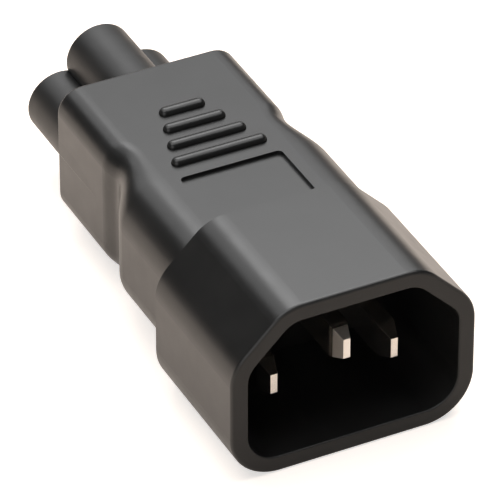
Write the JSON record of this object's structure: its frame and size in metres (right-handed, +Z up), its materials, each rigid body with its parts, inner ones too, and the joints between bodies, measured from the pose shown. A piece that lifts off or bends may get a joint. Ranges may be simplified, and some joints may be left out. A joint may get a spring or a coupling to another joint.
{
  "type": "iec power adapter",
  "caption": "Moulded mains adapter: shrouded flat-blade plug at one end, waisted grip with ribs, cloverleaf socket nose at the other.",
  "frame": {"origin": "under the middle of the bounding box, at the level of the shroud's underside", "axes": "+Y from the plug's mouth to the socket nose, +Z up with the plug's chamfered corners on top, X across the mirror plane"},
  "size_m": [0.0282, 0.062, 0.0204],
  "materials": {
    "shroud_plastic": "satin",
    "grip_plastic": "satin",
    "nose_plastic": "satin",
    "blade_metal": "nickel plated",
    "contact_metal": "bright",
    "lead_metal": "bare copper"
  },
  "bodies": {
    "root": {"plug_shroud": "shroud_plastic", "grip_overmould": "grip_plastic", "socket_insert": "nose_plastic", "line_pin": "blade_metal", "neutral_pin": "blade_metal", "earth_pin": "blade_metal", "line_contact": "contact_metal", "neutral_contact": "contact_metal", "earth_contact": "contact_metal", "line_lead": "lead_metal", "neutral_lead": "lead_metal", "earth_lead": "lead_metal"}
  },
  "joints": []
}
